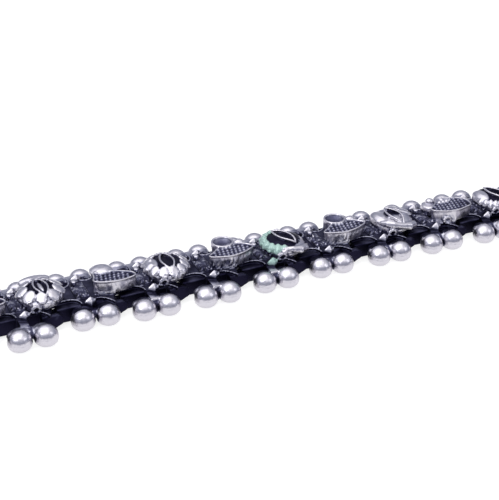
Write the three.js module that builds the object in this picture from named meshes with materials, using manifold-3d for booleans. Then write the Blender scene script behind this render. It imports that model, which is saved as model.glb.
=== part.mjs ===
// A chain bracelet of cast, darkened, silver-coloured metal, lying face up as a closed loop.
// Millimetres, +Z up. The origin is the middle of the loop, on the surface that it lies on.
import * as THREE from "three";
import { mergeVertices } from "three/addons/utils/BufferGeometryUtils.js";
import Module from "manifold-3d";

// Driving dimensions
const PITCH = 5; // from one crossbar to the next where the chain lies straight
const SLACK = 0.2; // what a bent joint gains when it is pulled out
const STRAIGHT_LINKS = 10;
const ARC_TURNS = 9; // equal turns at each end of the straight run
const SIDE_LINKS = 5; // straight run on each side of the foot of the loop
const FOOT_TURNS = 3;
const CLASP_FIRST = 26; // place in the loop, counted from 0
const CLASP_SPAN = 3; // links that the clasp stands for

const BALL = { x: 0.98, y: 3.3, radius: 0.95, height: 1.64, sides: 10 };
const BALL_WAIST = 0.56; // share of its height at which a ball is widest
const BALL_FOOT = 0.62; // a ball's flat foot as a share of its width
const BAR = { halfWidth: 0.32, halfSpan: 3.1, bottom: 0.06, top: 1.4 };
const PLATE = { bottom: 1.3, top: 1.65 };
const SADDLE = { from: -0.55, to: 1.1, halfWidth: 1.1, bottom: 1.4, top: 2.2 };
const BEAD_BOTTOM = 1.8;
const FLOWER = { x: 1.95, halfLength: 1.75, halfWidth: 1.75, sides: 10 };
const FLOWER_RIM = 2.3;
const FLOWER_CROWN = 2.85;
const FLOWER_FOOT = 0.85; // the bead's foot and crown as shares of its rim
const FLOWER_CREST = 0.62;
const LEAF_TOP = 2.75;
const EYELET = { bottom: 0.12, top: 1.12, wall: 0.27, halfHole: 0.62, halfWidth: 0.3 };
const ROD = { thick: 0.32, halfSpan: 1.25 };
const CLASP = { halfLength: 6.1, halfWidth: 2.3, corner: 0.8, height: 1.6 };
const BITE = 0.2; // how far a strap or an arm runs into the metal that carries it
const LID = { from: -4.7, to: 5.7, halfWidth: 1.9, top: 2.3 };

// Back edge of the plate, from left to right: a wide bay at the joint, and one by the right ball
const PLATE_EDGE = [
  { x: -2.3, y: 1.1 },
  { x: -0.8, y: 1.1 },
  { x: -0.4, y: 1.8 },
  { x: 0.2, y: 1.95 },
  { x: 1.2, y: 1.55 },
  { x: 2.0, y: 2.55 },
  { x: 2.3, y: 1.0 },
];

// Outline of a leaf bead's flat top, with the round lobe at its back
const LEAF_OUTLINE = [
  { x: 0.25, y: -0.85 },
  { x: 1.9, y: -1.5 },
  { x: 4.2, y: -0.65 },
  { x: 3.8, y: 0.1 },
  { x: 3.0, y: 0.5 },
  { x: 2.95, y: 1.3 },
  { x: 2.2, y: 1.75 },
  { x: 1.4, y: 1.4 },
  { x: 1.2, y: 0.6 },
  { x: 0.5, y: -0.2 },
];

// The arcs' turn is searched for between these two, in degrees
const LEAST_TURN = 16;
const MOST_TURN = 20;
const HALVINGS = 50;

const wasm = await Module();
wasm.setup();

// A closed three.js geometry as a solid that can be joined and cut.
function solid(geometry) {
  const bare = geometry.index ? geometry.toNonIndexed() : geometry;
  bare.deleteAttribute("normal");
  bare.deleteAttribute("uv");
  const merged = mergeVertices(bare, 1e-4);
  const corners = merged.index.array;
  const kept = [];
  for (let i = 0; i < corners.length; i += 3) {
    const [a, b, c] = corners.slice(i, i + 3);
    if (a !== b && b !== c && c !== a) kept.push(a, b, c);
  }
  return new wasm.Manifold(
    new wasm.Mesh({
      numProp: 3,
      vertProperties: merged.attributes.position.array,
      triVerts: new Uint32Array(kept),
    }),
  );
}

function geometryOf(body) {
  const mesh = body.getMesh();
  const geometry = new THREE.BufferGeometry();
  geometry.setAttribute("position", new THREE.BufferAttribute(mesh.vertProperties, 3));
  geometry.setIndex(new THREE.BufferAttribute(mesh.triVerts, 1));
  geometry.computeVertexNormals();
  return geometry;
}

function shapeOf(points) {
  return new THREE.Shape(points.map(({ x, y }) => new THREE.Vector2(x, y)));
}

// A flat outline raised from one height to another.
function slab(shape, bottom, top) {
  const geometry = new THREE.ExtrudeGeometry(shape, {
    depth: top - bottom,
    bevelEnabled: false,
  });
  return geometry.translate(0, 0, bottom);
}

function box(x0, x1, y0, y1, z0, z1) {
  const geometry = new THREE.BoxGeometry(x1 - x0, y1 - y0, z1 - z0);
  return geometry.translate((x0 + x1) / 2, (y0 + y1) / 2, (z0 + z1) / 2);
}

// A form turned about a vertical axis, from rows of radius and height that start and end on it.
function turned(rows, sides) {
  const profile = rows.map(([radius, height]) => new THREE.Vector2(radius, height));
  return new THREE.LatheGeometry(profile, sides).rotateX(Math.PI / 2);
}

// An outline drawn in X and Z, as thick as twice halfWidth across the chain.
function standing(shape, halfWidth) {
  const geometry = slab(shape, -halfWidth, halfWidth);
  return geometry.rotateX(Math.PI / 2);
}

// A ball finial: flat underfoot, widest at mid height, with a small flat crown.
function ball(x, y) {
  const { radius, height, sides } = BALL;
  const rows = [
    [0, 0],
    [BALL_FOOT * radius, 0],
    [radius, BALL_WAIST * height],
    [0, height],
  ];
  return solid(turned(rows, sides).translate(x, y, 0));
}

// The crossbar, whose ends lie between the balls of each pair and carry them.
function crossbar() {
  const { halfWidth, halfSpan, bottom, top } = BAR;
  return solid(box(-halfWidth, halfWidth, -halfSpan, halfSpan, bottom, top));
}

// The thin plate with scalloped sides, the same at the front and the back.
function plate() {
  const front = PLATE_EDGE.map(({ x, y }) => ({ x, y: -y }));
  const back = [...PLATE_EDGE].reverse();
  return solid(slab(shapeOf([...front, ...back]), PLATE.bottom, PLATE.top));
}

// The rib between two beads, which also carries this link's own bead.
function saddle() {
  const { from, to, halfWidth, bottom, top } = SADDLE;
  return solid(box(from, to, -halfWidth, halfWidth, bottom, top));
}

// A domed round bead with a flat crown.
function flowerBead() {
  const { x, halfLength, halfWidth, sides } = FLOWER;
  const rows = [
    [0, BEAD_BOTTOM],
    [FLOWER_FOOT, BEAD_BOTTOM],
    [1, FLOWER_RIM],
    [FLOWER_CREST, FLOWER_CROWN],
    [0, FLOWER_CROWN],
  ];
  const dome = turned(rows, sides).scale(halfLength, halfWidth, 1);
  return solid(dome.translate(x, 0, 0));
}

// A boat-shaped bead with a flat top.
function leafBead() {
  return solid(slab(shapeOf(LEAF_OUTLINE), BEAD_BOTTOM, LEAF_TOP));
}

// A strap with a slot round the next link's rod, whose place is given along the chain.
function eyelet(start, place) {
  const { bottom, top, wall, halfHole, halfWidth } = EYELET;
  const end = place + halfHole + wall;
  const shape = shapeOf([
    { x: start, y: bottom },
    { x: end, y: bottom },
    { x: end, y: top },
    { x: start, y: top },
  ]);
  const slot = new THREE.Path();
  slot.moveTo(place - halfHole, bottom + wall);
  slot.lineTo(place - halfHole, top - wall);
  slot.lineTo(place + halfHole, top - wall);
  slot.lineTo(place + halfHole, bottom + wall);
  slot.closePath();
  shape.holes.push(slot);
  return solid(standing(shape, halfWidth));
}

// The rod that the last link's eyelet holds, with the two arms that carry it.
function rod(place, end) {
  const { thick, halfSpan } = ROD;
  const middle = (EYELET.bottom + EYELET.top) / 2;
  const half = thick / 2;
  const shape = shapeOf([
    { x: place - half, y: -halfSpan },
    { x: end, y: -halfSpan },
    { x: end, y: -halfSpan + thick },
    { x: place + half, y: -halfSpan + thick },
    { x: place + half, y: halfSpan - thick },
    { x: end, y: halfSpan - thick },
    { x: end, y: halfSpan },
    { x: place - half, y: halfSpan },
  ]);
  return solid(slab(shape, middle - half, middle + half));
}

function link(bead) {
  const balls = [-1, 1].flatMap((side) => [
    ball(-BALL.x, side * BALL.y),
    ball(BALL.x, side * BALL.y),
  ]);
  const parts = [
    plate(),
    saddle(),
    bead(),
    eyelet(BAR.halfWidth - BITE / 2, PITCH / 2),
    rod(-PITCH / 2, -BAR.halfWidth + BITE / 2),
    ...balls,
  ];
  return parts.reduce((whole, part) => whole.add(part), crossbar());
}

// A plain closed box clasp with a low lid, a rod at its start and an eyelet at its end.
function clasp() {
  const { halfLength, halfWidth, corner, height } = CLASP;
  const corners = [
    { x: halfLength - corner, y: -halfWidth },
    { x: halfLength, y: -halfWidth + corner },
    { x: halfLength, y: halfWidth - corner },
    { x: halfLength - corner, y: halfWidth },
  ];
  const across = corners.map(({ x, y }) => ({ x: -x, y: -y }));
  const body = solid(slab(shapeOf([...corners, ...across]), 0, height));
  const lid = solid(box(LID.from, LID.to, -LID.halfWidth, LID.halfWidth, height / 2, LID.top));
  const reach = (CLASP_SPAN * PITCH) / 2;
  return body
    .add(lid)
    .add(eyelet(halfLength - BITE, reach))
    .add(rod(-reach, -halfLength + BITE));
}

// How far the chain turns at each joint round the loop, for one angle of the arcs.
function turnsFor(arcTurn) {
  const straight = (links) => new Array(links - 1).fill(0);
  const arc = new Array(ARC_TURNS).fill(arcTurn);
  const footTurn = (2 * Math.PI - 2 * ARC_TURNS * arcTurn) / FOOT_TURNS;
  const foot = new Array(FOOT_TURNS).fill(footTurn);
  const side = straight(SIDE_LINKS);
  return [...straight(STRAIGHT_LINKS), ...arc, ...side, ...foot, ...side, ...arc];
}

// Each link's place and heading, for one angle of the arcs.
function walk(arcTurn) {
  const turns = turnsFor(arcTurn);
  const at = new THREE.Vector2(-PITCH / 2, 0);
  let heading = 0;
  const places = turns.map((turn, i) => {
    const before = turns[(i + turns.length - 1) % turns.length];
    const length = PITCH + ((before > 0) + (turn > 0)) * (SLACK / 2);
    const step = new THREE.Vector2(Math.cos(heading), Math.sin(heading));
    const middle = at.clone().addScaledVector(step, length / 2);
    const place = { x: middle.x, y: middle.y, heading };
    at.addScaledVector(step, length);
    heading -= turn;
    return place;
  });
  return { places, gap: at.x + PITCH / 2 };
}

// The arc angle at which the chain meets its own start, found by halving.
function closedLoop() {
  let low = THREE.MathUtils.degToRad(LEAST_TURN);
  let high = THREE.MathUtils.degToRad(MOST_TURN);
  for (let i = 0; i < HALVINGS; i++) {
    const middle = (low + high) / 2;
    if (walk(low).gap * walk(middle).gap <= 0) high = middle;
    else low = middle;
  }
  return walk(low).places;
}

const silver = { color: 0xa9a7b4, metalness: 1, roughness: 0.32 };
const loop = new THREE.Group();

function add(name, geometry, { x, y, heading }) {
  const mesh = new THREE.Mesh(geometry, new THREE.MeshStandardMaterial(silver));
  mesh.name = name;
  mesh.position.set(x, y, 0);
  mesh.rotation.z = heading;
  loop.add(mesh);
}

const places = closedLoop();
const flowerLink = geometryOf(link(flowerBead));
const leafLink = geometryOf(link(leafBead));
let count = 0;
places.forEach((place, i) => {
  if (i >= CLASP_FIRST && i < CLASP_FIRST + CLASP_SPAN) return;
  count += 1;
  const name = `link_${String(count).padStart(2, "0")}`;
  add(name, i % 2 ? flowerLink : leafLink, place);
});
add("clasp", geometryOf(clasp()), places[CLASP_FIRST + (CLASP_SPAN - 1) / 2]);

// The loop's middle comes over the origin.
const middle = new THREE.Box3().setFromObject(loop).getCenter(new THREE.Vector3());
loop.position.set(-middle.x, -middle.y, 0);

const bracelet = new THREE.Group();
bracelet.add(loop);

export default bracelet;
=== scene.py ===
"""A chain bracelet of cast and oxidised silver, on a pale floor. Link shapes are in millimetres."""

import math
import random

import bpy
import numpy as np
from mathutils import Matrix, Vector, noise


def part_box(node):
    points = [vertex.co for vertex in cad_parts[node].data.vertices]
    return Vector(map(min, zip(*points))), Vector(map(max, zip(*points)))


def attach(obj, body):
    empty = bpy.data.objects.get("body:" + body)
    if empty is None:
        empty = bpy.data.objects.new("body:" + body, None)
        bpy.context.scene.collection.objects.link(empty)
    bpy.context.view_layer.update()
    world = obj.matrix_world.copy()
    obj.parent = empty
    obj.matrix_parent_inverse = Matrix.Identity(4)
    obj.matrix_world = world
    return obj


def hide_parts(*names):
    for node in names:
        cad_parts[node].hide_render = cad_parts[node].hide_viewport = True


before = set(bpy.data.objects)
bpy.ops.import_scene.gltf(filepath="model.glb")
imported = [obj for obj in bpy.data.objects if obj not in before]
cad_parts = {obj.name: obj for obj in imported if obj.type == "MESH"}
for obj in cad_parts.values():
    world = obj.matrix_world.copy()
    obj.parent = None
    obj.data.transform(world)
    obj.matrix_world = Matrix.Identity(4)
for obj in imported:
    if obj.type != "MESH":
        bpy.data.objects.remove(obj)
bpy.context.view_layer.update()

MM = 0.001
GRAIN = random.Random(12)

# The chain's plan, as its CAD source has it
PITCH = 5.0
SLACK = 0.2  # what a link gains in length between two bent joints
STRAIGHT_LINKS = 10  # the stretch in view
ARC_TURNS = 9  # bent joints in the arc at each end
SIDE_LINKS = 5  # links in each straight side between an arc and the foot
FOOT_TURNS = 3  # bent joints where the two sides meet
CLASP_FIRST = 26  # the clasp's first place, counted from 0
CLASP_SPAN = 3  # how many links' places it takes
ROD_REACH = 2.66  # from a link's crossbar to the far side of its rod
ARC_DEGREES = (16, 20)  # a joint's turn in the arcs is between these
HALVINGS = 50

# A link's balls and crossbar. X runs along the chain from the crossbar, and Z is up.
BALL_X, BALL_Y = 0.98, 3.3
BALL_RADIUS, BALL_HEIGHT = 0.95, 1.5
BALL_FOOT = [(0.5, 0.0), (0.74, 0.08), (0.9, 0.25), (0.97, 0.45), (0.98, 0.62)]  # share, height
BALL_WAIST = (0.96, 0.68)
TIP = 0.02  # a turned form ends in a flat this small, as a share of its radius
BAR_HALF_WIDTH, BAR_HALF_SPAN, BAR_BOTTOM, BAR_TOP = 0.32, 3.1, 0.06, 1.3

# Shoulders behind a ball: share of its X, shift along X, set back by, height, radii, turn
SHOULDERS = [
    (1.0, -0.3, 0.3, 0.95, (0.6, 0.5, 0.4), 0.7),
    (0.85, 0.0, 0.55, 0.85, (0.8, 0.75, 0.46), 0.0),
]
WEB_BACK, WEB_HEIGHT, WEB_RADII = 0.6, 0.8, (0.7, 0.6, 0.42)

# The plate and its back edge, from left to right: a wide bay at the joint, and one by the right ball
PLATE_BOTTOM, PLATE_TOP = 1.3, 1.6
PLATE_FACE = PLATE_TOP - 0.05
JOINT_BAY = ((-2.3, 1.05), (-0.9, 1.0), (-0.4, 1.85))
BALL_BAY = ((0.2, 1.95), (1.15, 1.5), (2.0, 2.55))
PLATE_END = (2.3, 1.0)
EDGE_RADIUS = 0.07
STUD_AT = (0.25, 1.85)
STUD_CORNERS = [(0.5, 0.06), (0.0, 0.34), (-0.5, -0.06), (0.0, -0.34)]
STUD_ROWS = [(1.0, PLATE_BOTTOM), (1.0, 1.7), (0.15, 2.0)]  # share, height

# Walls under the plate, which the underside's painted shade turns black: X from and to, Y near and far, and
# bottom
CHEEK_BOTTOM, CHEEK_TOP = 0.15, PLATE_BOTTOM + 0.05
CHEEKS = [
    (-2.3, 2.34, 0.9, 1.66, 1.18),
    (-2.3, 2.34, 1.38, 1.66, CHEEK_BOTTOM),
    (1.4, 2.1, 1.38, 2.3, CHEEK_BOTTOM),
]
KNUCKLE_NEAR, KNUCKLE_FAR = 1.9, 2.3
KNUCKLE = [
    (1.4, CHEEK_BOTTOM), (2.2, CHEEK_BOTTOM), (3.0, 0.55), (3.0, 1.1), (2.6, CHEEK_TOP), (1.4, CHEEK_TOP),
]

# The rib between two beads: a block, lumps on it as centre and radii, and rays over it
SADDLE_LOW, SADDLE_HIGH = (-0.55, -1.1, PLATE_BOTTOM), (0.5, 1.1, 1.7)
SADDLE_LUMPS = [
    ((0.0, -0.1, 1.7), (0.5, 0.95, 0.14)),
    ((-0.25, 0.75, 1.9), (0.27, 0.4, 0.28)),
    ((-0.3, -0.85, 1.75), (0.22, 0.3, 0.26)),
]
RAYS_FROM = (-0.42, -0.6, 1.8)
RAY_TIPS = [(-0.25, 0.15, 2.15), (0.25, -0.5, 1.95), (-0.4, -1.4, 1.65), (-0.55, -0.1, 1.95)]
RAY_RADII = (0.17, 0.05)

# The eyelet under a bead, and the rod and arms in front of the crossbar
EYELET_BOTTOM, EYELET_TOP, EYELET_WALL = 0.12, 1.12, 0.27
EYELET_HALF_HOLE, EYELET_HALF_WIDTH = 0.62, 0.3
ROD_THICK, ROD_HALF_SPAN, ARM_BOTTOM, ARM_TOP = 0.32, 1.25, 0.3, 1.1
ARM_INNER, ARM_REACH = 0.64, 2.15  # the thick part of the arms, beside the last link's eyelet
ROOT = 0.2  # from the crossbar's middle, or the clasp's end, to where straps and arms start

# Both kinds of bead
BEAD_BOTTOM, SKIRT_BOTTOM, SKIRT_END = 1.68, 1.2, 2.3
CRATER_RADIUS, CRATER_HALF_HEIGHT, CRATER_LUMP = 0.3, 0.25, (0.13, 0.14, 0.12)

# The flower bead, with its walls as rows of share and height
FLOWER_X, FLOWER_RADIUS = 1.95, 1.88
CROWN, CROWN_DROP, CROWN_POWER = 2.77, 0.76, 4.5
SUNK = 0.14  # how far the floor round the eye lies below the crown
FLOWER_WALL = [(0.9, BEAD_BOTTOM), (0.93, 1.85), (0.93, 2.15)]
CROWN_SHARES = (0.88, 0.78, 0.6, 0.4, TIP)
SKIRT_RADIUS = 1.7
FLOWER_SKIRT = [(0.85, SKIRT_BOTTOM), (0.98, BEAD_BOTTOM + 0.1)]
FLOWER_CRATER = (1.15, -1.68, 1.8)
PETAL_END, PETAL_THICK, PETAL_SUNK, PETAL_SWELL = 1.04, 0.17, 0.08, 0.1
EYE_X, EYE_FORWARD = FLOWER_X + 0.05, 0.08
EYE_HALF_LENGTH, EYE_HALF_WIDTH, EYE_RADIUS, EYE_RAISED = 1.3, 0.5, 0.085, 0.04
EYE_STEPS = 14
CORE_DEPTH, CORE_RADII = 0.12, (0.75, 0.17, 0.16)

# Ridges on some of the flower beads, as places and radii: a polished band along the front, and a brow
# that leads up to it. Then lumps, as centre and radii.
BAND = [
    ((1.4, -1.45, 2.36), 0.15), ((2.1, -1.66, 2.24), 0.27), ((2.8, -1.66, 2.1), 0.34),
    ((3.3, -1.4, 2.0), 0.32), ((3.65, -0.9, 1.95), 0.15),
]
BROW = [((0.6, -0.7, 2.35), 0.2), ((0.95, -1.15, 2.4), 0.32), (BAND[0][0], 0.34), (BAND[1][0], 0.27)]
FLOWER_LUMPS = {
    "cheek": ((0.95, 0.1, 2.25), (0.72, 1.2, 0.5)),
    "hood": ((1.9, 1.4, 2.5), (1.3, 0.55, 0.34)),
}

# The leaf bead, with its walls as rows of share and height, and its field of grains
LEAF_FIELD, LEAF_RIM = 2.6, 2.68
LEAF_MIDDLE = (2.3, -0.45)
LEAF_WALL = [(0.93, BEAD_BOTTOM), (0.96, 1.95), (0.98, 2.3), (0.98, LEAF_FIELD)]
LEAF_SKIRT = [(0.9, SKIRT_BOTTOM), (1.0, BEAD_BOTTOM), (0.96, BEAD_BOTTOM + 0.2)]
LEAF_CRATER = (1.45, -1.58, 1.85)
RIM_SHARE, RIM_RADIUS, FIELD_SHARE = 0.97, 0.07, 0.86
GRAIN_PITCH, GRAIN_RADIUS = 0.34, 0.13
GRAIN_COLUMNS, GRAIN_ROWS = 7, 5  # to each side of the middle
GRAIN_SLANT, GRAIN_STRETCH, GRAIN_STRAY = 0.25, 1.05, 0.02

# Rims of the leaf bead, anticlockwise from the left tip
SLIM = [
    (0.25, -0.85), (1.0, -1.22), (2.0, -1.45), (3.1, -1.2), (4.15, -0.62),
    (3.95, -0.1), (3.2, 0.38), (2.3, 0.5), (1.5, 0.25), (0.85, -0.3),
]
BLUNT = [
    (0.9, -0.95), (1.9, -1.4), (3.1, -1.5), (4.1, -1.2), (4.05, -0.65), (3.2, -0.1), (2.2, 0.25),
    (1.3, 0.42), (1.05, -0.3),
]
WIDE = [
    (0.3, -0.85), (1.1, -1.45), (2.1, -1.72), (3.2, -1.55), (4.05, -1.15), (4.05, -0.1), (3.1, 0.5),
    (1.9, 0.85), (1.05, -0.05),
]

# Lobes at the back of a leaf bead: places, and walls as rows of radius and height
CUP_AT = (2.1, 0.9)
CUP_WALL = [(0.72, BEAD_BOTTOM), (0.84, 2.1), (0.93, 2.6), (0.93, 2.78), (0.87, 2.85), (0.77, 2.82)]
CUP_BOWL = [(0.7, 2.66), (0.4, 2.5), (0.03, 2.46)]
CUP_NEIGHBOUR = ((3.45, 0.75, 2.4), (0.5, 0.42, 0.4))
DOME_AT = (2.0, 0.85)
DOME_WALL = [(0.7, BEAD_BOTTOM), (0.8, 2.2), (0.92, 2.48), (0.92, 2.56), (0.8, 2.62)]
DOME_TOP = ((2.0, 0.85, 2.55), (0.84, 0.8, 0.3))
KNOB_AT = (1.05, 0.6)
KNOB_WALL = [(0.7, BEAD_BOTTOM), (0.8, 2.1), (0.72, 2.38), (0.5, 2.45)]
KNOB_BALL = ((1.15, 0.85, 2.55), (0.38, 0.36, 0.28))

# The clasp, with its box and lid as rows of share and height
CLASP_HALF_LENGTH, CLASP_HALF_WIDTH, CLASP_HEIGHT, LID_TOP = 6.1, 2.3, 1.6, 2.3
CLASP_WALL = [(0.97, 0.0), (1.0, 0.12), (1.0, CLASP_HEIGHT - 0.16), (0.97, CLASP_HEIGHT)]
LID_WALL = [(1.0, CLASP_HEIGHT / 2), (1.0, LID_TOP - 0.14), (0.96, LID_TOP)]
LID_SHIFT, LID_SHORTER, LID_NARROWER = 0.5, 0.9, 0.4

# The links in view, from the left. "front" is the middle of the near pair of balls, which don't lie
# quite true. "rough" is how pitted the bead's walls are. The eye has its turn in degrees, where 90 is
# across the chain, and its shift to the front. "ring" is how far the dark floor round the eye reaches,
# as a share of the bead, and "petals" are their number and the arc they fill, in degrees. "more" names
# what else a flower bead has, and "rays" are on the saddle.
LINKS = [
    {"bead": "leaf", "rim": BLUNT, "lobe": "dome", "front": (0.0, 3.3), "rough": 0.3},
    {"bead": "flower", "front": (0.3, 3.6), "rough": 0.6,
     "eye": (94, 0.0), "ring": 0.5, "petals": (9, 0, 360), "more": ("core", "hood")},
    {"bead": "leaf", "rim": BLUNT, "lobe": "dome", "front": (0.35, 2.65), "rough": 0.45},
    {"bead": "flower", "front": (0.0, 3.15), "rough": 0.6,
     "eye": (88, 0.1), "ring": 0.6, "petals": (12, 20, 380), "more": ("cheek",)},
    {"bead": "leaf", "rim": SLIM, "lobe": "cup", "front": (-0.05, 3.25), "rough": 1.0},
    {"bead": "flower", "front": (0.0, 3.05), "rough": 0.6,
     "eye": (114, 0.0), "ring": 0.72, "petals": (9, 75, 262), "more": ("band", "green")},
    {"bead": "leaf", "rim": SLIM, "lobe": "cup", "front": (0.05, 2.7), "rough": 0.7, "rays": True},
    {"bead": "flower", "front": (0.3, 2.85), "rough": 0.3,
     "eye": (99, 0.3), "ring": 0.3, "petals": (5, -20, 80), "more": ("band", "brow", "cheek")},
    {"bead": "leaf", "rim": WIDE, "lobe": "knob", "front": (0.25, 2.85), "rough": 0.2},
    {"bead": "flower", "front": (0.2, 3.0), "rough": 0.5,
     "eye": (110, 0.2), "ring": 0.75, "petals": (12, 190, 380), "more": ("cheek",)},
]

# How the gathered forms become one skin
VOXEL = 0.052
NEAR_KEPT, FAR_KEPT = 0.34, 0.32  # share of the triangles kept in all, and of those again out of view
LUMPS_PER_MM = 7.0
SKIN_DEPTH, PIT_DEPTH = 0.01, 0.1

# How tarnish and painted shade follow the surface, where 0 is bright and 1 is black
LEAST_TARNISH = 0.22
HOLLOWS = [(4, 8.0), (30, 3.0)]  # rounds of spreading, and weight
WALL_TARNISH, WALL_SPECKLE = 0.42, 0.7
SADDLE_SPECKLE, SPECKLE_MOST = 1.1, 0.5
CLASP_TARNISH = 0.45

# Where the bead's walls and the saddle are. A Z with two values is a lower and a higher limit.
WALL_UPRIGHT, WALL_Z, WALL_FROM_X, WALL_HALF_Y = 0.65, (1.4, 2.45), 0.2, 2.1
SADDLE_Z, SADDLE_HALF_X, SADDLE_HALF_Y = (PLATE_TOP, 2.1), 0.62, 1.3

# Where the black finish stays in the hollows, where painted shade darkens the link under and over the plate,
# on the saddle, on the shoulders and between the balls, and how black each is
# Painted shade under the plate: black on what lies low within its width, fading out above and to the sides
SHADED_UNDERSIDE_Z, SHADED_UNDERSIDE_HALF_Y, SHADED_UNDERSIDE_FADE = 1.4, 2.55, 0.2
PLATE_HALF_Y = 2.6
# Painted shade over the plate's height under the beads, and lighter just above it, where its raised edges
# stand
RIMS_SHADE, RIMS_SHADE_Z = 0.42, (1.25, PLATE_TOP + 0.1)
PLATE_SHADE, PLATE_SHADE_Z = 0.8, (1.25, PLATE_TOP - 0.01)
# Painted shade on the saddle between the beads
SADDLE_SHADE = 0.74
# Painted shade on the shoulders behind the balls
SHOULDER_SHADE, SHOULDER_SHADE_Z, SHOULDER_SHADE_FROM = 0.52, (0.7, 1.4), 1.7
SHOULDER_SHADE_FRONT, SHOULDER_SHADE_BACK = 0.35, 2.95  # it stays this far behind the near balls, and up to this Y
# Painted shade low down between the balls of each pair
WEB_SHADE, WEB_SHADE_HALF_X, WEB_SHADE_FROM, WEB_SHADE_TOP = 0.72, 0.13, 2.1, 1.3
PIT_BLACK, PIT_RADIUS, PIT_Y = 0.8, 0.2, (-2, -1.4)
RING_BLACK, RING_MARGIN, RING_FROM_Z = 0.9, 0.04, 2.1
RING_CLEAR, RING_FADE = 0.02, 0.08  # the ring is clear down to this depth, then fades to black
BOWL_BLACK, BOWL_RADIUS, BOWL_Z = 0.62, 0.74, (2.3, 2.74)
FIELD_BLACK, FIELD_EDGE, FIELD_Z = 0.82, 0.93, (2.4, LEAF_RIM + 0.07)
GRAIN_FADE, CUP_REACH = 3.2, 0.95  # how fast a leaf's black goes with height, and what a cup covers

# Where green copper salt grows: on the petals to the left, and on the stud
GREEN_X, GREEN_END, GREEN_FADE = FLOWER_X - 0.1, 0.05, 0.4
GREEN_FROM_Z, GREEN_FROM_Y, GREEN_FROM_SHARE = 2.0, -1.56, 0.68
GREEN_STUD, GREEN_STUD_RADIUS, GREEN_STUD_Z = (0.3, -1.9), 0.5, 1.55

# Colours of the metal, from tarnish and colour
SILVER = [(0.2, (0.60, 0.58, 0.63)), (0.42, (0.40, 0.40, 0.48)), (0.65, (0.085, 0.085, 0.145))]
BLACKEST = 0.85
LINK_BLACK, CLASP_BLACK = (0.012, 0.011, 0.028), (0.1, 0.1, 0.14)
LINK_ROUGHNESS, CLASP_ROUGHNESS = (0.3, 0.5), (0.28, 0.4)
ROUGH_FROM, ROUGH_TO = 0.25, 0.75
GREEN_SALT, GREEN_METALLIC = (0.36, 0.52, 0.47, 1.0), 0.25
MIX_FROM, MIX_TO, MIX_RESULT = 6, 7, 2  # a Mix node's colour sockets
CLOUD_SCALE, CLOUD_SPREAD, CLOUD_SHIFT = 900.0, 0.45, -0.22
GRIT_SCALE, GRIT_STRENGTH, GRIT_DEPTH = 5200.0, 0.35, 0.00002

# The studio, in metres and watts
FLOOR_HALF, FLOOR_GREYS, FLOOR_GLOW = 3.0, (0.3, 0.34), 0.8
SKY = [
    (0.0, (0.16, 0.16, 0.24)),
    (0.12, (0.26, 0.27, 0.36)),
    (0.45, (0.42, 0.45, 0.55)),
    (0.7, (0.72, 0.73, 0.8)),
    (0.95, (1.0, 1.0, 1.02)),
]
LAMPS_AIM = (0.0, 0.019, 0.0)
LAMPS = [
    {"name": "overhead", "at": (-0.12, 0.05, 0.4), "size": 0.62, "watts": 1.15},
    {"name": "left", "at": (-0.3, -0.1, 0.35), "size": 0.12, "watts": 0.22},
    {"name": "right", "at": (0.3, -0.2, 0.3), "size": 0.22, "watts": 0.2},
]

# The camera: its place in millimetres from the first crossbar, and its angles in degrees
CAMERA_FROM = (-11.615, -79.98, 49.015)
CAMERA_DOWN, CAMERA_TURN = 28.2, -24.1
FOCAL_PIXELS, FRAME_PIXELS, SENSOR = 1250.0, 499.0, 36.0


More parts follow.
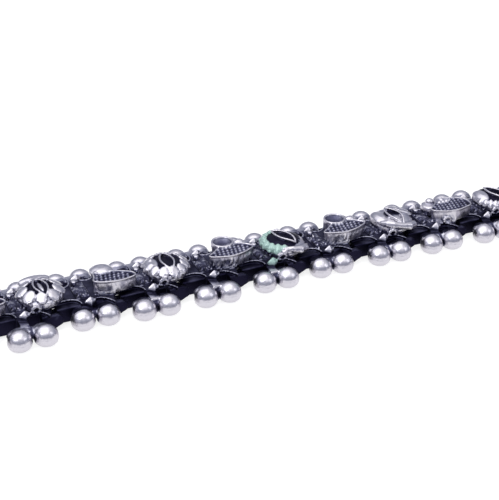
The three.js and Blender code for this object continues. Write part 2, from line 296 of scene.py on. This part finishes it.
class Body:
    """Closed surfaces that are gathered first and then fused into one."""

    def __init__(self):
        self.points = []
        self.faces = []

    def add(self, points, faces):
        start = len(self.points)
        self.points.extend(Vector(point) for point in points)
        self.faces.extend([start + i for i in face] for face in faces)

    def loft(self, rings):
        """A skin through rings of equally many points, capped at both ends."""
        count = len(rings[0])
        faces = []
        for base in range(0, (len(rings) - 1) * count, count):
            for i in range(count):
                after = (i + 1) % count
                faces.append((base + i, base + after, base + count + after, base + count + i))
        last = (len(rings) - 1) * count
        faces.append(tuple(reversed(range(count))))
        faces.append(tuple(range(last, last + count)))
        self.add([point for ring in rings for point in ring], faces)

    def turned(self, centre, rows, sides):
        """A form turned about a vertical axis, from rows of radius and height."""
        circle = around(sides)
        self.loft([[(centre[0] + r * x, centre[1] + r * y, z) for x, y in circle] for r, z in rows])

    def slab(self, outline, middle, rows):
        """An outline raised through rows of scale about its middle and height."""
        self.loft([
            [(middle[0] + (x - middle[0]) * k, middle[1] + (y - middle[1]) * k, z) for x, y in outline]
            for k, z in rows
        ])

    def box(self, low, high):
        """A block between two corners."""
        corners = [(low[0], low[1]), (high[0], low[1]), (high[0], high[1]), (low[0], high[1])]
        self.loft([[(x, y, z) for x, y in corners] for z in (low[2], high[2])])

    def wall(self, profile, low, high):
        """A side view in X and Z, drawn out between two Y."""
        self.loft([[(x, y, z) for x, z in profile] for y in (low, high)])

    def pillow(self, centre, radii, turn=0.0, tilt=0.0, levels=8, sides=14):
        """An ellipsoid, turned about the vertical, with its long end tilted down."""
        place = Matrix.Translation(centre) @ Matrix.Rotation(turn, 4, "Z") @ Matrix.Rotation(tilt, 4, "Y")
        rings = []
        for level in range(1, levels):
            polar = math.pi * (level / levels - 0.5)
            rings.append([
                place @ Vector((
                    radii[0] * math.cos(polar) * x,
                    radii[1] * math.cos(polar) * y,
                    radii[2] * math.sin(polar),
                ))
                for x, y in around(sides)
            ])
        self.loft(rings)

    def tube(self, path, radii, closed=False, sides=8):
        """A round tube along a path of points, with one radius for each."""
        rings = []
        for i, point in enumerate(path):
            before = path[i - 1] if i or closed else path[i]
            after = path[(i + 1) % len(path)] if i + 1 < len(path) or closed else path[i]
            ahead = (Vector(after) - Vector(before)).normalized()
            side = ahead.cross(Vector((0, 0, 1))).normalized()
            up = side.cross(ahead)
            rings.append([
                Vector(point) + radii[i] * (x * side + y * up) for x, y in around(sides)
            ])
        if closed:
            rings.append(rings[0])
        self.loft(rings)


def around(sides):
    """Points round a circle of radius 1."""
    turns = [math.tau * i / sides for i in range(sides)]
    return [(math.cos(turn), math.sin(turn)) for turn in turns]


def arc(start, middle, end, steps=10):
    """Points from start towards end on a curve that passes through middle."""
    start, middle, end = Vector(start), Vector(middle), Vector(end)
    pull = 2 * middle - (start + end) / 2
    points = []
    for i in range(steps):
        t = i / steps
        points.append(tuple((1 - t) ** 2 * start + 2 * t * (1 - t) * pull + t * t * end))
    return points


def rounded(corners, steps=5):
    """A closed smooth curve through the corners."""
    points = []
    count = len(corners)
    for i in range(count):
        a, b, c, d = (Vector(corners[(i + k) % count]) for k in (-1, 0, 1, 2))
        for step in range(steps):
            t = step / steps
            points.append(tuple(
                0.5 * (2 * b + (c - a) * t + (2 * a - 5 * b + 4 * c - d) * t * t
                       + (3 * b - a - 3 * c + d) * t ** 3)
            ))
    return points


def inside(x, y, outline):
    """Whether points are within a closed outline."""
    hit = np.zeros(np.shape(x), dtype=bool)
    for (ax, ay), (bx, by) in zip(outline, outline[1:] + outline[:1]):
        if ay != by:
            hit ^= ((ay > y) != (by > y)) & (x < ax + (y - ay) * (bx - ax) / (by - ay))
    return hit


def within(value, low, high):
    """Whether values are between two limits."""
    return (value > low) & (value < high)


def across(side, near, far):
    """Lower and higher Y of what stands between two distances on one side."""
    return sorted((side * near, side * far))


def ball_rows():
    """A ball's radii and heights: a drawn-in foot, then a round crown."""
    share, waist = BALL_WAIST
    levels = 8
    crown = []
    for level in range(levels + 1):
        polar = math.pi / 2 * level / levels
        height = waist + (BALL_HEIGHT - waist) * math.sin(polar)
        crown.append((share * max(math.cos(polar), TIP), height))
    return [(BALL_RADIUS * r, z) for r, z in BALL_FOOT + crown]


def add_balls(body, row):
    """Two squat balls at each end of the crossbar, drawn back into smooth shoulders."""
    rows = ball_rows()
    for side, (middle, reach) in ((-1, row["front"]), (1, (0.0, BALL_Y))):
        for x in (-BALL_X, BALL_X):
            body.turned((middle + x, side * reach), rows, sides=28)
            for share, shift, back, height, radii, turn in SHOULDERS:
                centre = (middle + x * share + shift, side * (reach - back), height)
                body.pillow(centre, radii, turn=side * turn)
        body.pillow((middle, side * (reach - WEB_BACK), WEB_HEIGHT), WEB_RADII)


def add_bar(body, row):
    """The crossbar, which ends between the balls of each pair."""
    shift, reach = row["front"]
    front = BAR_HALF_SPAN - BALL_Y + min(reach, BALL_Y) - shift
    body.box((-BAR_HALF_WIDTH, -front, BAR_BOTTOM), (BAR_HALF_WIDTH, BAR_HALF_SPAN, BAR_TOP))


def plate_edge():
    """The plate's back edge, from left to right."""
    joint, ball = arc(*JOINT_BAY), arc(*BALL_BAY)
    return joint + [JOINT_BAY[2]] + ball + [BALL_BAY[2], PLATE_END]


def add_plate(body):
    """A thin plate, dark with painted shade, with raised edges that are shaded less, and a stud in each
    side.
    """
    edge = plate_edge()
    outline = [(x, -y) for x, y in edge] + edge[::-1]
    body.loft([[(x, y, z) for x, y in outline] for z in (PLATE_BOTTOM, PLATE_FACE)])
    for side in (-1, 1):
        for bay in (JOINT_BAY, BALL_BAY):
            path = [(x, y * side, PLATE_FACE) for x, y in arc(*bay) + [bay[2]]]
            body.tube(path, [EDGE_RADIUS] * len(path))
        add_stud(body, STUD_AT[0], STUD_AT[1] * side)
        add_cheek(body, side)


def add_stud(body, x, y):
    """A bright four-sided stud with a low point."""
    body.loft([[(x + px * k, y + py * k, z) for px, py in STUD_CORNERS] for k, z in STUD_ROWS])


def add_cheek(body, side):
    """The walls under the plate, black with painted shade, with a knuckle that stands beside the next
    link's.
    """
    for start, end, near, far, bottom in CHEEKS:
        low, high = across(side, near, far)
        body.box((start, low, bottom), (end, high, CHEEK_TOP))
    body.wall(KNUCKLE, *across(side, KNUCKLE_NEAR, KNUCKLE_FAR))


def add_saddle(body, row):
    """The dished rib between two beads."""
    body.box(SADDLE_LOW, SADDLE_HIGH)
    for centre, radii in SADDLE_LUMPS:
        body.pillow(centre, radii)
    if row.get("rays"):
        for tip in RAY_TIPS:
            body.tube([RAYS_FROM, tip], RAY_RADII)


def add_eyelet(body, start, place):
    """Two straps from a start along the chain, closed beyond the rod that stands at a place."""
    half = EYELET_HALF_WIDTH
    far = place + EYELET_HALF_HOLE
    end = far + EYELET_WALL
    body.box((start, -half, EYELET_BOTTOM), (end, half, EYELET_BOTTOM + EYELET_WALL))
    body.box((start, -half, EYELET_TOP - EYELET_WALL), (end, half, EYELET_TOP))
    body.box((far, -half, EYELET_BOTTOM), (end, half, EYELET_TOP))


def add_rod(body, place, end):
    """A rod across the chain at a place, on two thin arms that run to an end."""
    middle = (EYELET_BOTTOM + EYELET_TOP) / 2
    half = ROD_THICK / 2
    low, high = middle - half, middle + half
    body.box((place - half, -ROD_HALF_SPAN, low), (place + half, ROD_HALF_SPAN, high))
    for side in (-1, 1):
        inner, outer = across(side, ROD_HALF_SPAN - ROD_THICK, ROD_HALF_SPAN)
        body.box((place - half, inner, low), (end, outer, high))


def add_hinge(body):
    """The eyelet under the bead, and the rod that the last link's eyelet holds, on deep arms."""
    add_eyelet(body, ROOT, PITCH / 2)
    half = EYELET_HALF_WIDTH
    body.box((ROOT, -half, EYELET_BOTTOM), (PITCH / 2 - EYELET_HALF_HOLE, half, EYELET_TOP))
    add_rod(body, -PITCH / 2, -ROOT)
    for side in (-1, 1):
        inner, outer = across(side, ROD_HALF_SPAN - ROD_THICK, ROD_HALF_SPAN)
        body.box((-PITCH / 2, inner, ARM_BOTTOM), (-ROOT, outer, ARM_TOP))
        inner, outer = across(side, ARM_INNER, ROD_HALF_SPAN)
        body.box((-ARM_REACH, inner, CHEEK_BOTTOM), (-ROOT, outer, ARM_TOP))


def off_crown(x, y):
    """How far a place is from the middle of the flower bead, as a share of its size."""
    return np.hypot(x - FLOWER_X, y) / FLOWER_RADIUS


def dome(x, y):
    """Height of the flower bead's crown."""
    return CROWN - CROWN_DROP * off_crown(x, y) ** CROWN_POWER


def add_flower(body, row):
    """A domed round bead: a pointed eye in a sunken ring, and petals draped over its edge."""
    crown = [(u, CROWN - SUNK - CROWN_DROP * u ** CROWN_POWER) for u in CROWN_SHARES]
    body.turned((FLOWER_X, 0), [(FLOWER_RADIUS * u, z) for u, z in FLOWER_WALL + crown], sides=30)
    circle = [(FLOWER_X + SKIRT_RADIUS * x, SKIRT_RADIUS * y) for x, y in around(sides=30)]
    body.slab([(min(x, SKIRT_END), y) for x, y in circle], (FLOWER_X, 0), FLOWER_SKIRT)
    add_petals(body, row["ring"], *row["petals"])
    add_eye(body, row)
    add_crater(body, *FLOWER_CRATER)
    for name, ridge in (("band", BAND), ("brow", BROW)):
        if name in row["more"]:
            body.tube([place for place, _ in ridge], [radius for _, radius in ridge])
    for name, (centre, radii) in FLOWER_LUMPS.items():
        if name in row["more"]:
            body.pillow(centre, radii)


def add_petals(body, ring, count, start, end):
    """Petals from the ring to the bead's edge, over an arc in degrees."""
    share = (ring + 1.0) / 2
    slope = CROWN_DROP * CROWN_POWER * share ** (CROWN_POWER - 1) / FLOWER_RADIUS
    length = (PETAL_END - ring) / 2 * FLOWER_RADIUS / math.cos(math.atan(slope))
    width = math.radians(end - start) / count * share * FLOWER_RADIUS / 2
    for i in range(count):
        turn = math.radians(start + (end - start) * (i + 0.5) / count)
        swell = 1 + PETAL_SWELL * GRAIN.uniform(-1, 1)
        x = FLOWER_X + share * FLOWER_RADIUS * math.cos(turn)
        y = share * FLOWER_RADIUS * math.sin(turn)
        radii = (length * swell, width * swell, PETAL_THICK)
        body.pillow((x, y, dome(x, y) - PETAL_SUNK), radii, turn=turn, tilt=math.atan(slope))


def add_crater(body, x, y, z):
    """A ring of lumps round a pit in the bead's front wall."""
    for aside, up in around(sides=9):
        body.pillow((x + CRATER_RADIUS * aside, y, z + CRATER_HALF_HEIGHT * up), CRATER_LUMP)


def add_eye(body, row):
    """A raised pointed oval rim, laid over the dome."""
    turn = math.radians(row["eye"][0])
    forward = EYE_FORWARD + row["eye"][1]
    along = [-1 + 2 * i / EYE_STEPS for i in range(EYE_STEPS)]
    flat = [(t * EYE_HALF_LENGTH, EYE_HALF_WIDTH * (1 - t * t)) for t in along]
    flat += [(-x, -y) for x, y in flat]
    path = []
    for x, y in flat:
        px = EYE_X + x * math.cos(turn) - y * math.sin(turn)
        py = x * math.sin(turn) + y * math.cos(turn) - forward
        path.append((px, py, dome(px, py) + EYE_RAISED))
    body.tube(path, [EYE_RADIUS] * len(path), closed=True)
    if "core" in row["more"]:
        body.pillow((EYE_X, -forward, CROWN - CORE_DEPTH), CORE_RADII, turn=turn)


def shrunk(outline, share):
    """A leaf's outline, drawn in to a share of its size."""
    mx, my = LEAF_MIDDLE
    return [(mx + (x - mx) * share, my + (y - my) * share) for x, y in outline]


def add_leaf(body, row):
    """A boat-shaped bead: a thin rim round a field of grains, with a lobe at its back."""
    outline = rounded(row["rim"])
    body.slab(outline, LEAF_MIDDLE, LEAF_WALL)
    body.slab([(min(x, SKIRT_END), y) for x, y in outline], LEAF_MIDDLE, LEAF_SKIRT)
    rim = [(x, y, LEAF_RIM) for x, y in shrunk(outline, RIM_SHARE)]
    body.tube(rim, [RIM_RADIUS] * len(rim), closed=True)
    add_grains(body, shrunk(outline, FIELD_SHARE))
    if row["rim"] is WIDE:
        add_crater(body, *LEAF_CRATER)
    LOBES[row["lobe"]](body)


def add_grains(body, field):
    """Slanting rows of grains, where they lie within a field's outline."""
    for i in range(-GRAIN_COLUMNS, GRAIN_COLUMNS + 1):
        for j in range(-GRAIN_ROWS, GRAIN_ROWS + 1):
            x = LEAF_MIDDLE[0] + (i + GRAIN_SLANT * j) * GRAIN_PITCH
            x += GRAIN.uniform(-GRAIN_STRAY, GRAIN_STRAY)
            y = LEAF_MIDDLE[1] + j * GRAIN_PITCH * GRAIN_STRETCH
            y += GRAIN.uniform(-GRAIN_STRAY, GRAIN_STRAY)
            if inside(x, y, field):
                body.pillow((x, y, LEAF_FIELD), [GRAIN_RADIUS] * 3)


def add_cup(body):
    """A round cup with a thick polished lip, and a small lobe beside it."""
    body.turned(CUP_AT, CUP_WALL + CUP_BOWL, sides=28)
    body.pillow(*CUP_NEIGHBOUR)


def add_dome(body):
    """A smooth low lobe with a lip round it."""
    body.turned(DOME_AT, DOME_WALL, sides=24)
    body.pillow(*DOME_TOP)


def add_knob(body):
    """A low lobe with a small ball on it."""
    body.turned(KNOB_AT, KNOB_WALL, sides=24)
    body.pillow(*KNOB_BALL)


LOBES = {"cup": add_cup, "dome": add_dome, "knob": add_knob}


def link_body(row):
    """Everything in one link."""
    body = Body()
    add_balls(body, row)
    add_bar(body, row)
    add_plate(body)
    add_saddle(body, row)
    add_hinge(body)
    if row["bead"] == "flower":
        add_flower(body, row)
    else:
        add_leaf(body, row)
    return body


def clasp_body():
    """A plain box clasp with a low lid, a rod at its start and an eyelet at its end."""
    body = Body()
    length, width = CLASP_HALF_LENGTH, CLASP_HALF_WIDTH
    body.slab(round_rectangle(length, width), (0, 0), CLASP_WALL)
    lid = round_rectangle(length - LID_SHORTER, width - LID_NARROWER)
    body.slab([(x + LID_SHIFT, y) for x, y in lid], (LID_SHIFT, 0), LID_WALL)
    reach = CLASP_SPAN * PITCH / 2
    add_rod(body, -reach, -length + ROOT)
    add_eyelet(body, length - ROOT, reach)
    return body


def round_rectangle(half_length, half_width, corner=0.8, steps=6):
    """A rectangle with round corners, anticlockwise."""
    points = []
    for i, (x, y) in enumerate(((1, 1), (-1, 1), (-1, -1), (1, -1))):
        for step in range(steps + 1):
            turn = math.pi / 2 * (i + step / steps)
            points.append((
                x * (half_length - corner) + corner * math.cos(turn),
                y * (half_width - corner) + corner * math.sin(turn),
            ))
    return points


def shaped(name, mesh, modifiers):
    """A mesh with modifiers applied, from rows of kind and settings."""
    carrier = bpy.data.objects.new(name, mesh)
    bpy.context.collection.objects.link(carrier)
    for kind, settings in modifiers:
        modifier = carrier.modifiers.new(kind.lower(), kind)
        for key, value in settings.items():
            setattr(modifier, key, value)
    graph = bpy.context.evaluated_depsgraph_get()
    result = bpy.data.meshes.new_from_object(carrier.evaluated_get(graph))
    bpy.data.objects.remove(carrier)
    result.validate()
    result.name = name
    return result


def fused(name, body):
    """One skin over everything in a body, in millimetres."""
    mesh = bpy.data.meshes.new(name)
    mesh.from_pydata(body.points, [], body.faces)
    return shaped(name, mesh, [
        ("REMESH", {"mode": "VOXEL", "voxel_size": VOXEL}),
        ("SMOOTH", {"factor": 0.5, "iterations": 2}),
        ("DECIMATE", {"ratio": NEAR_KEPT}),
    ])


def places_of(mesh):
    """A mesh's points, as rows of X, Y and Z."""
    flat = np.empty(3 * len(mesh.vertices))
    mesh.vertices.foreach_get("co", flat)
    return flat.reshape(-1, 3)


def normals_of(mesh):
    """Which way the skin faces at each point."""
    flat = np.empty(3 * len(mesh.vertices), dtype=np.float32)
    mesh.vertex_normals.foreach_get("vector", flat)
    return flat.reshape(-1, 3).astype(float)


def edges_of(mesh):
    """A mesh's edges, as pairs of points."""
    flat = np.empty(2 * len(mesh.edges), dtype=np.int32)
    mesh.edges.foreach_get("vertices", flat)
    return flat.reshape(-1, 2)


def averaged(values, edges, rounds):
    """Each point's value, spread over its neighbours a number of times."""
    a, b = edges.T
    size = len(values)
    count = np.bincount(edges.ravel(), minlength=size) + 1.0
    for _ in range(rounds):
        total = values.copy()
        for axis in range(values.shape[1]):
            total[:, axis] += np.bincount(a, weights=values[b, axis], minlength=size)
            total[:, axis] += np.bincount(b, weights=values[a, axis], minlength=size)
        values = total / count[:, None]
    return values


def pit(mesh, row):
    """Roughens the bead's walls and takes the rest a little off true."""
    points = places_of(mesh)
    normals = normals_of(mesh)
    depth = SKIN_DEPTH + PIT_DEPTH * row["rough"] * on_wall(points, normals)
    points += normals * (depth * lumps_at(points))[:, None]
    mesh.vertices.foreach_set("co", points.ravel())
    mesh.update()


def lumps_at(points):
    """Smooth noise at each point, about as often above 0 as below."""
    return np.array([noise.noise(Vector(point) * LUMPS_PER_MM) for point in points])


def on_wall(points, normals):
    """Which points are on the upright sides of the bead."""
    x, y, z = points.T
    upright = np.abs(normals[:, 2]) < WALL_UPRIGHT
    return upright & within(z, *WALL_Z) & (x > WALL_FROM_X) & (np.abs(y) < WALL_HALF_Y)


def on_saddle(x, y, z):
    """Which points are on the rib between two beads."""
    return within(z, *SADDLE_Z) & (np.abs(x) < SADDLE_HALF_X) & (np.abs(y) < SADDLE_HALF_Y)


def wear(mesh, row):
    """Writes how tarnished, how darkened by painted shade, and how green each point is."""
    points = places_of(mesh)
    edges = edges_of(mesh)
    normals = normals_of(mesh)
    lumps = lumps_at(points)
    x, y, z = points.T
    tarnish_and_shade = LEAST_TARNISH
    for rounds, weight in HOLLOWS:
        tarnish_and_shade = tarnish_and_shade + weight * ((averaged(points, edges, rounds) - points) * normals).sum(axis=1)
    speckled = (WALL_TARNISH - WALL_SPECKLE * lumps) * row["rough"]
    tarnish_and_shade = np.where(on_wall(points, normals), np.maximum(tarnish_and_shade, speckled), tarnish_and_shade)
    tarnish_and_shade = np.maximum(tarnish_and_shade, blackened_and_shaded(x, y, z, row))
    tarnish_and_shade -= SADDLE_SPECKLE * np.clip(lumps, 0, SPECKLE_MOST) * on_saddle(x, y, z)
    write_values(mesh, "tarnish_and_shade", np.clip(tarnish_and_shade, 0, 1))
    write_values(mesh, "green", greened(x, y, z, row))


def blackened_and_shaded(x, y, z, row):
    """How dark the black finish is in the places that polishing doesn't reach, and how dark the painted
    shade is under and over the plate, on the saddle, on the shoulders and between the balls.
    """
    aside = np.abs(y)
    shift, reach = row["front"]
    middle = np.where(y < 0, shift, 0.0)
    on_plate = aside < PLATE_HALF_Y
    # painted shade under the plate
    shaded_below = np.clip((SHADED_UNDERSIDE_Z - z) / SHADED_UNDERSIDE_FADE, 0, 1)
    shaded_behind_balls = (aside > SHOULDER_SHADE_FROM) & within(y, SHOULDER_SHADE_FRONT - reach, SHOULDER_SHADE_BACK)
    depths = [
        shaded_below * np.clip((SHADED_UNDERSIDE_HALF_Y - aside) / SHADED_UNDERSIDE_FADE, 0, 1),
        # painted shade on the plate, lighter on its raised edges
        RIMS_SHADE * (within(z, *RIMS_SHADE_Z) & on_plate),
        PLATE_SHADE * (within(z, *PLATE_SHADE_Z) & on_plate),
        # painted shade on the saddle between the beads
        SADDLE_SHADE * on_saddle(x, y, z),
        # painted shade on the shoulders behind the balls
        SHOULDER_SHADE * (within(z, *SHOULDER_SHADE_Z) & shaded_behind_balls),
        # painted shade low down between the balls
        WEB_SHADE * ((np.abs(x - middle) < WEB_SHADE_HALF_X) & (aside > WEB_SHADE_FROM) & (z < WEB_SHADE_TOP)),
    ]
    depths += flower_hollows(x, y, z, row) if row["bead"] == "flower" else leaf_hollows(x, y, z, row)
    return np.maximum.reduce(depths)


def flower_hollows(x, y, z, row):
    """How dark the pit in the flower bead's wall is, and the sunken floor round its eye."""
    pit_x, _, pit_z = FLOWER_CRATER
    in_pit = (np.hypot(x - pit_x, z - pit_z) < PIT_RADIUS) & within(y, *PIT_Y)
    in_ring = (off_crown(x, y) < row["ring"] + RING_MARGIN) & (z > RING_FROM_Z)
    sunk = np.clip((dome(x, y) - z - RING_CLEAR) / RING_FADE, 0, 1)
    return [PIT_BLACK * in_pit, RING_BLACK * in_ring * sunk]


def leaf_hollows(x, y, z, row):
    """How dark the bowl of the leaf bead's cup is, and the field between its grains."""
    from_cup = np.hypot(x - CUP_AT[0], y - CUP_AT[1])
    in_bowl = (from_cup < BOWL_RADIUS) & within(z, *BOWL_Z) & (row["lobe"] == "cup")
    field = shrunk(rounded(row["rim"]), FIELD_EDGE)
    in_field = inside(x, y, field) & within(z, *FIELD_Z) & (from_cup > CUP_REACH)
    sunk = np.clip(FIELD_BLACK - GRAIN_FADE * (z - LEAF_FIELD), 0, 1)
    return [BOWL_BLACK * in_bowl, in_field * sunk]


def greened(x, y, z, row):
    """How much green copper salt has grown on the metal."""
    if "green" not in row.get("more", ()):
        return np.zeros(len(x))
    petals = (z > GREEN_FROM_Z) & (y > GREEN_FROM_Y) & (x > GREEN_END) & (off_crown(x, y) > GREEN_FROM_SHARE)
    stud = np.hypot(x - GREEN_STUD[0], y - GREEN_STUD[1]) < GREEN_STUD_RADIUS
    leftward = np.clip((GREEN_X - x) / GREEN_FADE, 0, 1)
    return np.maximum(leftward * petals, stud & (z > GREEN_STUD_Z))


def write_values(mesh, name, values):
    """Stores a value for each point, for the material to read."""
    layer = mesh.attributes.new(name, "FLOAT", "POINT")
    layer.data.foreach_set("value", values.astype(np.float32))


def turns_for(arc_turn):
    """How far the chain turns at each joint round the loop."""
    ends = [arc_turn] * ARC_TURNS
    foot = [(math.tau - 2 * ARC_TURNS * arc_turn) / FOOT_TURNS] * FOOT_TURNS
    side = [0.0] * (SIDE_LINKS - 1)
    return [0.0] * (STRAIGHT_LINKS - 1) + ends + side + foot + side + ends


def walk(arc_turn):
    """Each link's place and heading, and how far the end misses the start."""
    turns = turns_for(arc_turn)
    at = Vector((-PITCH / 2, 0.0))
    heading = 0.0
    places = []
    for i, turn in enumerate(turns):
        length = PITCH + ((turns[i - 1] > 0) + (turn > 0)) * SLACK / 2
        step = Vector((math.cos(heading), math.sin(heading)))
        places.append((at + step * length / 2, heading))
        at = at + step * length
        heading -= turn
    return places, at.x + PITCH / 2


def closed_loop():
    """The places at which the chain meets its own start, found by halving."""
    low, high = (math.radians(degrees) for degrees in ARC_DEGREES)
    for _ in range(HALVINGS):
        middle = (low + high) / 2
        if walk(low)[1] * walk(middle)[1] <= 0:
            high = middle
        else:
            low = middle
    return walk(low)[0]


def first_crossbar():
    """Where the first link's crossbar stands on the floor, in metres."""
    low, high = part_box("link_01")
    return Vector((low[0] + ROD_REACH * MM, (low[1] + high[1]) / 2, 0.0))


def placement(place, heading):
    """From a link's own millimetres to its place on the floor, in metres."""
    here = first_crossbar() + Vector((place[0], place[1], 0.0)) * MM
    return Matrix.Translation(here) @ Matrix.Rotation(heading, 4, "Z") @ Matrix.Scale(MM, 4)


def tree_of(name):
    """A new material, its nodes and its shader."""
    made = bpy.data.materials.new(name)
    made.use_nodes = True
    tree = made.node_tree
    return made, tree, tree.nodes["Principled BSDF"]


def node(tree, kind, **settings):
    """A new node, from its own settings and the values of its inputs."""
    made = tree.nodes.new(kind)
    for key, value in settings.items():
        if hasattr(made, key):
            setattr(made, key, value)
        else:
            made.inputs[key].default_value = value
    return made


def ramp(tree, source, stops):
    """Colours along a value, from rows of position and colour."""
    made = tree.nodes.new("ShaderNodeValToRGB")
    band = made.color_ramp
    while len(band.elements) < len(stops):
        band.elements.new(0.5)
    for element, (position, colour) in zip(band.elements, stops):
        element.position = position
        element.color = (*colour, 1.0)
    tree.links.new(source, made.inputs["Fac"])
    return made.outputs["Color"]


def clouds(tree, scale, detail):
    """Noise that stays with the object."""
    place = node(tree, "ShaderNodeTexCoord").outputs["Object"]
    made = node(tree, "ShaderNodeTexNoise", Scale=scale, Detail=detail)
    tree.links.new(place, made.inputs["Vector"])
    return made.outputs["Fac"]


def grey(value):
    return (value, value, value)


def tarnish_and_shade_depth(tree):
    """The tarnish and painted shade written on the mesh, clouded a little."""
    spread = node(tree, "ShaderNodeMath", operation="MULTIPLY_ADD")
    tree.links.new(clouds(tree, CLOUD_SCALE, detail=5.0), spread.inputs[0])
    spread.inputs[1].default_value = CLOUD_SPREAD
    spread.inputs[2].default_value = CLOUD_SHIFT
    depth = node(tree, "ShaderNodeMath", operation="ADD")
    written = node(tree, "ShaderNodeAttribute", attribute_name="tarnish_and_shade").outputs["Fac"]
    tree.links.new(spread.outputs[0], depth.inputs[0])
    tree.links.new(written, depth.inputs[1])
    return depth.outputs[0]


def silver_material(name, darkest, roughness):
    """Silver with its hollows blackened and painted shade under and between its parts, worn bright where it
    stands proud, and spots of green.
    """
    made, tree, shader = tree_of(name)
    link = tree.links.new
    depth = tarnish_and_shade_depth(tree)
    green = node(tree, "ShaderNodeAttribute", attribute_name="green").outputs["Fac"]
    mixed = node(tree, "ShaderNodeMix", data_type="RGBA")
    link(green, mixed.inputs["Factor"])
    link(ramp(tree, depth, SILVER + [(BLACKEST, darkest)]), mixed.inputs[MIX_FROM])
    mixed.inputs[MIX_TO].default_value = GREEN_SALT
    link(mixed.outputs[MIX_RESULT], shader.inputs["Base Color"])
    metallic = node(tree, "ShaderNodeMapRange")
    link(green, metallic.inputs["Value"])
    metallic.inputs["To Min"].default_value = 1.0
    metallic.inputs["To Max"].default_value = GREEN_METALLIC
    link(metallic.outputs[0], shader.inputs["Metallic"])
    low, high = roughness
    link(ramp(tree, depth, [(ROUGH_FROM, grey(low)), (ROUGH_TO, grey(high))]), shader.inputs["Roughness"])
    bump = node(tree, "ShaderNodeBump", Strength=GRIT_STRENGTH, Distance=GRIT_DEPTH)
    link(clouds(tree, GRIT_SCALE, detail=3.0), bump.inputs["Height"])
    link(bump.outputs["Normal"], shader.inputs["Normal"])
    return made


def floor_material():
    """A pale matt floor that glows a little, so that it stays near white."""
    made, tree, shader = tree_of("pale_floor")
    darker, paler = FLOOR_GREYS
    tint = ramp(tree, clouds(tree, scale=3.0, detail=2.0), [(0.0, grey(darker)), (1.0, grey(paler))])
    tree.links.new(tint, shader.inputs["Base Color"])
    shader.inputs["Roughness"].default_value = 0.9
    shader.inputs["Emission Color"].default_value = (1.0, 1.0, 1.0, 1.0)
    shader.inputs["Emission Strength"].default_value = FLOOR_GLOW
    return made


def add_links():
    """A detailed piece for each link, and a plainer clasp."""
    silver = silver_material("oxidised_silver", LINK_BLACK, LINK_ROUGHNESS)
    plain = silver_material("plain_silver", CLASP_BLACK, CLASP_ROUGHNESS)
    shapes = [link_shapes(row) for row in LINKS]
    places = closed_loop()
    count = 0
    for i, (place, heading) in enumerate(places):
        if CLASP_FIRST <= i < CLASP_FIRST + CLASP_SPAN:
            continue
        count += 1
        near, far = shapes[i % len(LINKS)]
        shape = near if i < len(LINKS) else far
        add_piece(f"link_{count:02d}", shape, placement(place, heading), silver)
    middle, heading = places[CLASP_FIRST + CLASP_SPAN // 2]
    shape = shaped("plain_clasp", fused("box_clasp", clasp_body()), [("DECIMATE", {"ratio": FAR_KEPT})])
    write_values(shape, "tarnish_and_shade", np.full(len(shape.vertices), CLASP_TARNISH))
    add_piece("clasp", shape, placement(middle, heading), plain)


def link_shapes(row):
    """A link's mesh for the stretch in view, and a lighter one for the rest of the loop."""
    near = fused("cast_link", link_body(row))
    pit(near, row)
    far = shaped("plain_link", near.copy(), [("DECIMATE", {"ratio": FAR_KEPT})])
    wear(near, row)
    wear(far, {**row, "more": ()})
    return near, far


def add_piece(name, shape, place, material):
    """Puts a shape in its place on the floor, instead of the CAD node of that name."""
    mesh = shape.copy()
    mesh.transform(place)
    mesh.materials.clear()
    mesh.materials.append(material)
    mesh.shade_smooth()
    piece = bpy.data.objects.new(f"cast_{name}", mesh)
    bpy.context.collection.objects.link(piece)
    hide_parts(name)
    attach(piece, "root")


def add_floor():
    """A wide plain floor under the chain."""
    half = FLOOR_HALF
    mesh = bpy.data.meshes.new("floor")
    corners = [(-half, -half, 0), (half, -half, 0), (half, half, 0), (-half, half, 0)]
    mesh.from_pydata(corners, [], [(0, 1, 2, 3)])
    mesh.materials.append(floor_material())
    floor = bpy.data.objects.new("floor", mesh)
    bpy.context.collection.objects.link(floor)


def add_lamps():
    """Soft square lamps that face the chain."""
    for row in LAMPS:
        data = bpy.data.lights.new(row["name"], "AREA")
        data.size = row["size"]
        data.energy = row["watts"]
        lamp = bpy.data.objects.new(row["name"], data)
        bpy.context.collection.objects.link(lamp)
        aim = Vector(LAMPS_AIM) - Vector(row["at"])
        lamp.location = row["at"]
        lamp.rotation_euler = aim.to_track_quat("-Z", "Y").to_euler()


def add_world():
    """A dim studio: dark at the horizon and paler overhead."""
    world = bpy.data.worlds.new("studio")
    world.use_nodes = True
    tree = world.node_tree
    bpy.context.scene.world = world
    coordinates = tree.nodes.new("ShaderNodeTexCoord")
    split = tree.nodes.new("ShaderNodeSeparateXYZ")
    tree.links.new(coordinates.outputs["Generated"], split.inputs[0])
    background = tree.nodes["Background"]
    tree.links.new(ramp(tree, split.outputs["Z"], SKY), background.inputs["Color"])
    background.inputs["Strength"].default_value = 1.0


def add_camera():
    """The photograph's camera, fitted to the balls along the chain's edge."""
    data = bpy.data.cameras.new("camera")
    data.sensor_fit = "HORIZONTAL"
    data.sensor_width = SENSOR
    data.lens = SENSOR * FOCAL_PIXELS / FRAME_PIXELS
    data.clip_start = MM
    camera = bpy.data.objects.new("camera", data)
    camera.location = first_crossbar() + Vector(CAMERA_FROM) * MM
    camera.rotation_euler = (math.radians(90 - CAMERA_DOWN), 0.0, math.radians(CAMERA_TURN))
    bpy.context.collection.objects.link(camera)
    bpy.context.scene.camera = camera


add_links()
add_floor()
add_world()
add_lamps()
add_camera()
bpy.context.scene.view_settings.view_transform = "Standard"
